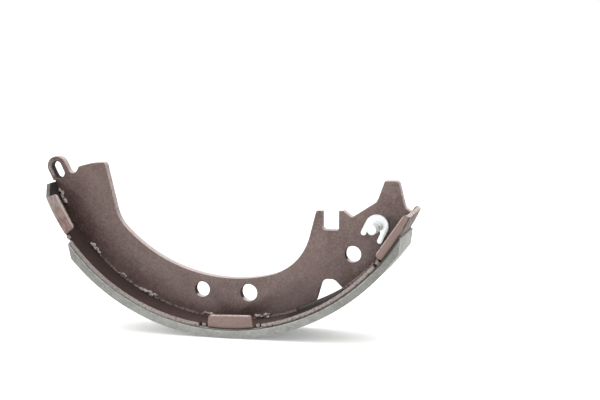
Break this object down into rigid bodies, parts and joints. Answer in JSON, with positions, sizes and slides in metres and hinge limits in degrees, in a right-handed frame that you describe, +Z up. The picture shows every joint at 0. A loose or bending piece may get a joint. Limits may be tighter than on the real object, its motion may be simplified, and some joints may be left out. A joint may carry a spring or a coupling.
{
  "type": "brake shoe",
  "caption": "Drum brake shoe: a pressed web welded to a rolled rim table with bent ledges, a bonded lining, and a lever pin with its clip.",
  "frame": {"origin": "on the floor under the middle of the bounding box, on the web's middle plane; the shoe stands on the lining's crown", "axes": "+X along the arc's chord towards the wheel cylinder's end, +Y along the drum's axis away from the pin's free end, +Z up"},
  "size_m": [0.2058, 0.04, 0.0932],
  "materials": {
    "brown_paint": "satin, fine grain",
    "weld_metal": "rough",
    "friction_lining": "matt, ground",
    "zinc_plate": "bright zinc plate"
  },
  "bodies": {
    "root": {"web": "brown_paint", "table": "brown_paint", "lining": "friction_lining", "weld_spots": "weld_metal", "lever_pin": "zinc_plate", "horseshoe_clip": "zinc_plate"}
  },
  "joints": []
}
